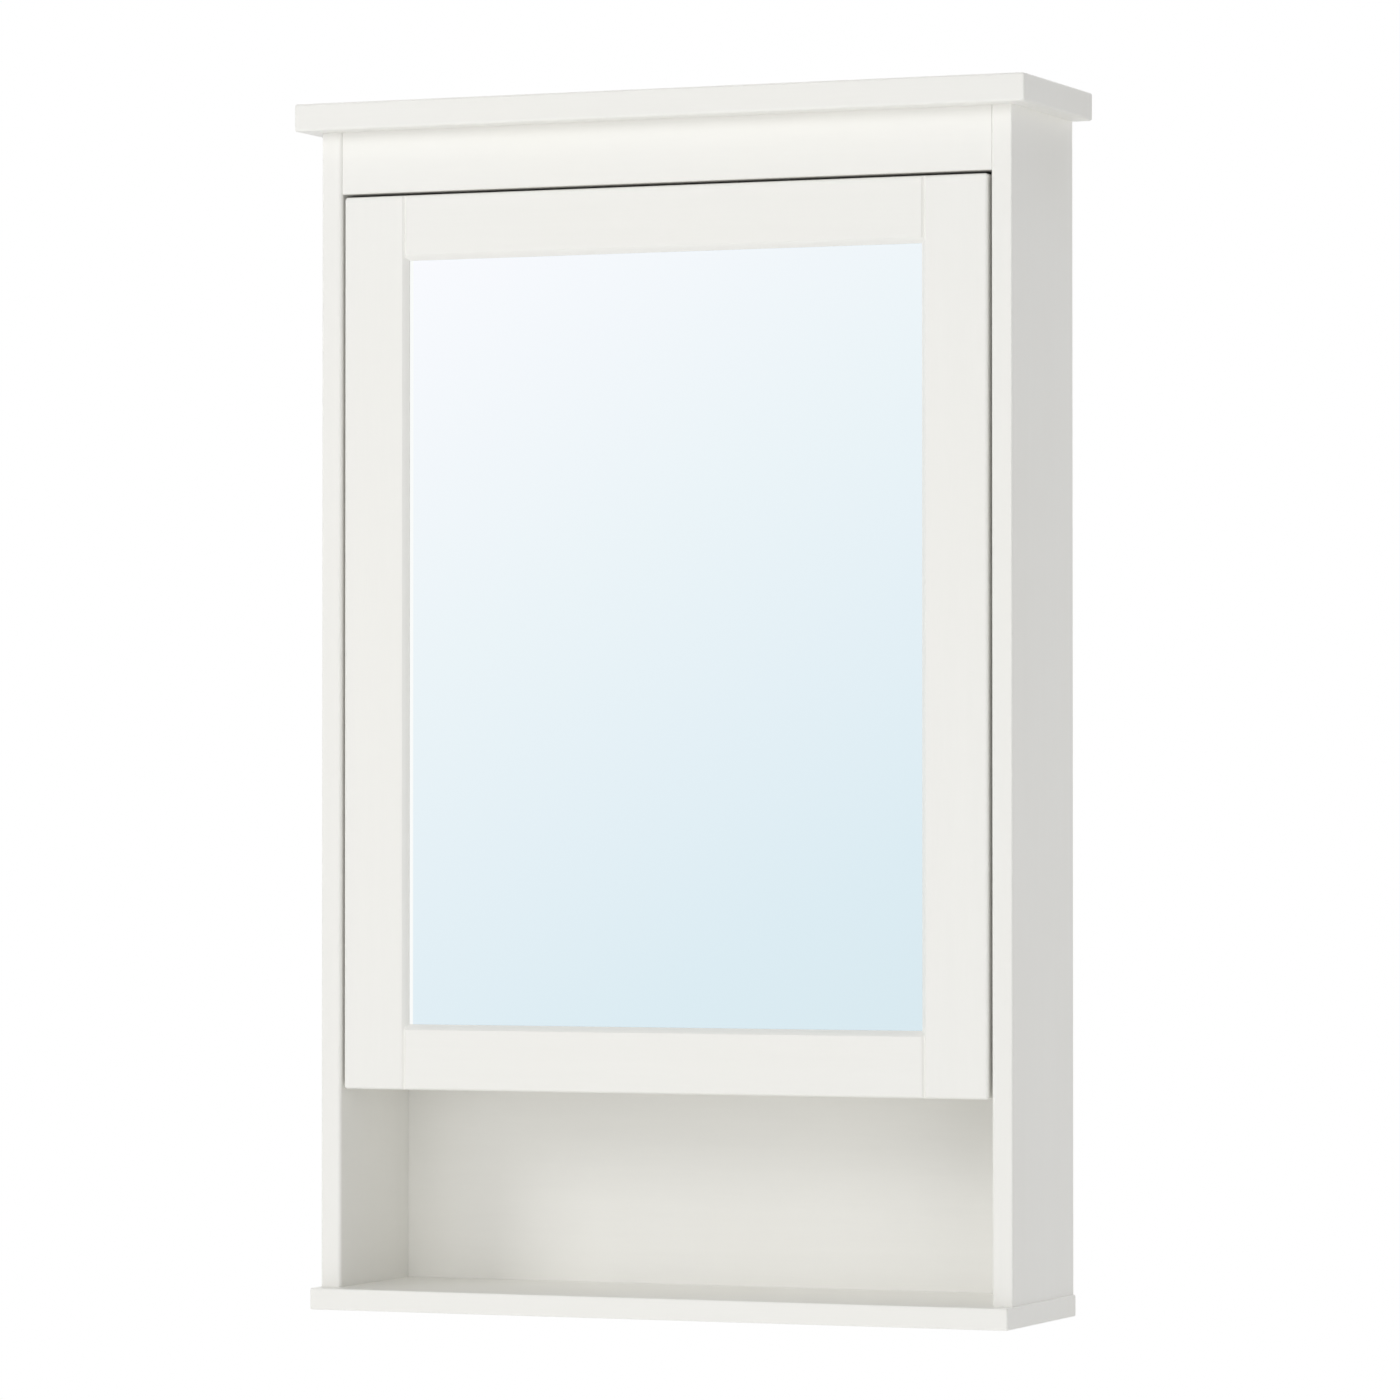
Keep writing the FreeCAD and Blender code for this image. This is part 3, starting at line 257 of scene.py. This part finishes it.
DRESS = {
    paint("paint_level", "x"): (
        "top_board", "bottom_board", "fascia", "hanging_rail", "fixed_shelf"),
    paint("paint_upright", "z"): ("side_panel_left", "side_panel_right"),
    paint("paint_door_upright", "z"): ("door_stile_left", "door_stile_right"),
    paint("paint_door_level", "x"): ("door_rail_bottom", "door_rail_top"),
    paint("paint_bead_upright", "z"): ("bead_left", "bead_right"),
    paint("paint_bead_level", "x"): ("bead_bottom", "bead_top"),
    paint("paint_back_panel", "x", shine=0.16, grain=0.4, raw_rear=True): ("back_panel",),
    paint("paint_backing", "z", shine=0.5, grain=0.3): ("mirror_backing",),
    mirror(): ("mirror_glass",),
    clear_glass(): ("glass_shelf_1", "glass_shelf_2", "glass_shelf_3"),
    metal("nickel_plate", (0.74, 0.75, 0.76), 0.26, "y"): (
        "hinge_upper_plate", "hinge_upper_arm", "hinge_upper_cup", "hinge_upper_pin",
        "hinge_lower_plate", "hinge_lower_arm", "hinge_lower_cup", "hinge_lower_pin", "catch_plate",
        "shelf_pins_1", "shelf_pins_2", "shelf_pins_3"),
    metal("zinc_plate", ZINC, 0.38, "z"): ("bead_brads", "cam_bolts"),
    metal("cast_zinc", (0.62, 0.63, 0.64), 0.5, "x", 0.00006): ("cam_nuts",),
    raw_wood("beech", (0.76, 0.62, 0.44), "x"): ("carcass_dowels", "door_dowels"),
    plastic("catch_shell", (0.88, 0.88, 0.86)): ("catch_case",),
    plastic("magnet_block", (0.05, 0.05, 0.055), 0.6): ("catch_magnet",),
    plastic("soft_pad", (0.75, 0.75, 0.73), 0.7): ("door_bumpers",),
}
for material, names in DRESS.items():
    for name in names:
        item = nodes[name]
        item.data.materials.clear()
        item.data.materials.append(material)

# ---------------------------------------------------------------- screws with cross recesses

PITCH = 0.0012            # of the threads, in metres
THREAD_ROOT = 0.72        # radius of a thread's root, as a share of the shank's
RECESS_NARROWING = 0.55   # size of the recess's floor, as a share of its mouth
RECESS_ARM = (0.56, 0.13)   # half length and half width of its arms, as shares of the head's radius
SMALL_HEAD, BASE_HEAD = 0.0018, 0.003   # heights of the heads
HINGE_SHANK, PANEL_SHANK, BASE_SHANK = 0.0017, 0.0015, 0.0034   # radii of the shanks
FIRST_TURN, NEXT_TURN = 0.7, 1.9   # how each screw's recess is turned, so that no two line up


def linked(name, data):
    made = bpy.data.objects.new(name, data)
    bpy.context.scene.collection.objects.link(made)
    return made


def turned(bm, outline, count=40):
    """Skin an outline of (radius, height), from axis to axis, round the Z axis."""
    rings = []
    for radius, height in outline:
        if radius == 0:
            rings.append([bm.verts.new((0, 0, height))])
            continue
        turns = [2 * math.pi * k / count for k in range(count)]
        rings.append([bm.verts.new((radius * math.cos(t), radius * math.sin(t), height))
                      for t in turns])
    for first, second in zip(rings, rings[1:]):
        for k in range(count):
            corners = (first[k % len(first)], first[(k + 1) % len(first)],
                       second[(k + 1) % len(second)], second[k % len(second)])
            bm.faces.new(list(dict.fromkeys(corners)))


def wedge(bm, long, wide, top, bottom):
    """A bar that narrows downwards, for one pair of arms of a cross recess."""
    corners = []
    for share, height in ((1.0, top), (RECESS_NARROWING, bottom)):
        for x, y in ((-1, -1), (1, -1), (1, 1), (-1, 1)):
            corners.append(bm.verts.new((x * long * share, y * wide * share, height)))
    sides = [(k, (k + 1) % 4, 4 + (k + 1) % 4, 4 + k) for k in range(4)]
    for face in [(3, 2, 1, 0), (4, 5, 6, 7)] + sides:
        bm.faces.new([corners[k] for k in face])


def mesh_from(name, fill):
    bm = bmesh.new()
    fill(bm)
    bmesh.ops.recalc_face_normals(bm, faces=bm.faces)
    mesh = bpy.data.meshes.new(name)
    bm.to_mesh(mesh)
    bm.free()
    return mesh


def screw_mesh(name, radius, head, shank, length, domed):
    """One screw that points down its own -Z; its head's seat is at 0 and its crown is at +head.

    A head that isn't domed is nearly flat on top.
    """
    rim = head * (0.45 if domed else 0.85)
    crown = [(0, head)] + [(radius * share, rim + (head - rim) * math.sqrt(1 - share ** 2.6))
                           for share in (0.2, 0.4, 0.6, 0.75, 0.87, 0.95, 1.0)]
    thread = []
    depth = -PITCH / 2
    while depth > -length + 2.5 * shank:
        thread += [(shank, depth), (shank * THREAD_ROOT, depth - PITCH * 0.35),
                   (shank * THREAD_ROOT, depth - PITCH * 0.65)]
        depth -= PITCH
    seat, tip = [(radius * 0.96, 0), (shank, 0)], [(shank * 0.5, -length + shank), (0, -length)]
    outline = crown + seat + thread + tip
    body = linked(name, mesh_from(name, lambda bm: turned(bm, outline)))
    cutters = []
    for long, wide in (RECESS_ARM, RECESS_ARM[::-1]):
        bar = mesh_from("recess", lambda bm: wedge(
            bm, radius * long, radius * wide, head * 1.2, head * 0.15))
        cutters.append(linked("recess", bar))
        cut = body.modifiers.new("recess", "BOOLEAN")
        cut.operation, cut.solver, cut.object = "DIFFERENCE", "EXACT", cutters[-1]
    graph = bpy.context.evaluated_depsgraph_get()
    cooked = bpy.data.meshes.new_from_object(body.evaluated_get(graph))
    for item in cutters + [body]:
        bpy.data.objects.remove(item)
    return cooked


def spots(node, axis, reach=0.011):
    """Boxes round the separate pieces of a node, told apart by how they stand across an axis."""
    groups = []
    for vertex in nodes[node].data.vertices:
        flat = Vector([0.0 if k == axis else vertex.co[k] for k in range(3)])
        home = next((group for group in groups if (group[0] - flat).length < reach), None)
        if home is None:
            home = (flat, [])
            groups.append(home)
        home[1].append(vertex.co.copy())
    return [(Vector([min(p[k] for p in points) for k in range(3)]),
             Vector([max(p[k] for p in points) for k in range(3)])) for _, points in groups]


def screws(node, facing, head, shank, body, finish, domed=True):
    """Stand-ins for a node's screws; facing is the way that their heads point."""
    axis = max(range(3), key=lambda k: abs(facing[k]))
    sign = 1 if facing[axis] > 0 else -1
    turn = Vector((0, 0, 1)).rotation_difference(Vector(facing)).to_matrix().to_4x4()
    joined = bmesh.new()
    for number, (low, high) in enumerate(sorted(spots(node, axis), key=lambda box: tuple(box[0]))):
        across = [k for k in range(3) if k != axis]
        radius = (high[across[0]] - low[across[0]]) / 2
        one = screw_mesh(f"{node}_one", radius, head, shank, high[axis] - low[axis] - head, domed)
        at = (low + high) / 2
        at[axis] = (high[axis] if sign > 0 else low[axis]) - sign * head
        twist = Matrix.Rotation(FIRST_TURN + NEXT_TURN * number, 4, "Z")
        one.transform(Matrix.Translation(at) @ turn @ twist)
        joined.from_mesh(one)
        bpy.data.meshes.remove(one)
    mesh = bpy.data.meshes.new(f"{node}_recessed")
    joined.to_mesh(mesh)
    joined.free()
    for face in mesh.polygons:
        face.use_smooth = True
    mesh.set_sharp_from_angle(angle=math.radians(32))
    mesh.materials.append(finish)
    made = linked(f"{node}_recessed", mesh)
    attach(made, body)
    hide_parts(node)


finish = metal("zinc_plate_heads", ZINC, 0.34, "z")
for side in ("upper", "lower"):
    screws(f"hinge_{side}_plate_screws", (1, 0, 0), SMALL_HEAD, HINGE_SHANK, "carcass", finish)
    screws(f"hinge_{side}_cup_screws", (0, 1, 0), SMALL_HEAD, HINGE_SHANK, "door", finish)
screws("catch_screws", (0, 0, 1), SMALL_HEAD, HINGE_SHANK, "carcass", finish)
screws("base_screws", (0, 0, -1), BASE_HEAD, BASE_SHANK, "carcass", finish, domed=False)
screws("back_panel_screws", (0, 1, 0), SMALL_HEAD, PANEL_SHANK, "carcass", finish)

# ---------------------------------------------------------------- floor, light and camera

FLOOR_Z = -2.05   # about 1.1 m under the cabinet's lowest edge
FLOOR_RADIUS, FLOOR_CORNERS = 9.0, 96
FLOOR_TONES = ((0.86, 0.86, 0.85, 1), (0.89, 0.89, 0.88, 1))
FLOOR_GLOW = 0.15
ROOM_LIGHT = 0.25   # strength of the room as a source of light, next to 1 to the eye
CENTRE = Vector((0, -0.08, -0.43))   # what the lamps point at
EYE = (2.0171, -5.0323, -0.5259)
TILT, TURN = math.pi / 2 + 0.01717, math.radians(22.082)
LENS, SENSOR = 170.19, 36
LAMPS = {   # place, watts, size of the square
    "key_lamp": ((-3.0, -3.2, 0.9), 49.0, 1.5),
    "front_lamp": ((-0.4, -3.6, -0.6), 18.5, 2.0),
    "high_lamp": ((0.4, -3.2, 1.4), 19.0, 2.0),
    "fill_lamp": ((3.0, -3.2, -1.0), 19.0, 2.0),
    "rim_lamp": ((2.6, 0.9, -0.5), 8.0, 1.5),
    "top_lamp": ((0.0, 1.6, 3.2), 78.0, 3.0),
    "rear_lamp": ((-1.5, 3.6, 0.4), 34.0, 2.0),
}


def floor():
    mat = Recipe("floor_pale")
    cloud = mat.noise(1.5, detail=4)
    mat.set(Base_Color=mat.blend(mat.spread(cloud, 0.3, 0.7), *FLOOR_TONES), Roughness=0.8,
            Emission_Color=(1.0, 1.0, 1.0, 1.0), Emission_Strength=FLOOR_GLOW)
    mesh = bpy.data.meshes.new("floor")
    turns = [2 * math.pi * k / FLOOR_CORNERS for k in range(FLOOR_CORNERS)]
    ring = [(FLOOR_RADIUS * math.cos(t), FLOOR_RADIUS * math.sin(t), FLOOR_Z) for t in turns]
    mesh.from_pydata(ring, [], [list(range(FLOOR_CORNERS))])
    mesh.materials.append(mat.material)
    made = linked("floor", mesh)


def soft_lamp(name, at, power, size):
    light = bpy.data.lights.new(name, "AREA")
    light.energy, light.shape, light.size = power, "SQUARE", size
    lamp = linked(name, light)
    lamp.location = at
    lamp.rotation_euler = (CENTRE - Vector(at)).to_track_quat("-Z", "Y").to_euler()
    lamp.visible_camera = False
    lamp.visible_glossy = False


def white_room():
    """White to the eye and in reflections, and much dimmer as a source of light."""
    world = bpy.data.worlds.new("white_room")
    bpy.context.scene.world = world
    world.use_nodes = True
    tree = world.node_tree
    back = tree.nodes["Background"]
    path = tree.nodes.new("ShaderNodeLightPath")
    level = tree.nodes.new("ShaderNodeMapRange")
    level.inputs["To Min"].default_value = 1.0
    level.inputs["To Max"].default_value = ROOM_LIGHT
    tree.links.new(path.outputs["Is Diffuse Ray"], level.inputs["Value"])
    tree.links.new(level.outputs[0], back.inputs["Strength"])
    back.inputs["Color"].default_value = (1, 1, 1, 1)


def camera():
    data = bpy.data.cameras.new("camera")
    data.sensor_width = SENSOR
    data.lens = LENS
    data.clip_end = 100
    eye = linked("camera", data)
    eye.location = EYE
    eye.rotation_euler = (TILT, 0, TURN)
    bpy.context.scene.camera = eye


floor()
for name, (at, power, size) in LAMPS.items():
    soft_lamp(name, at, power, size)
white_room()
camera()
bpy.context.scene.view_settings.view_transform = "Standard"
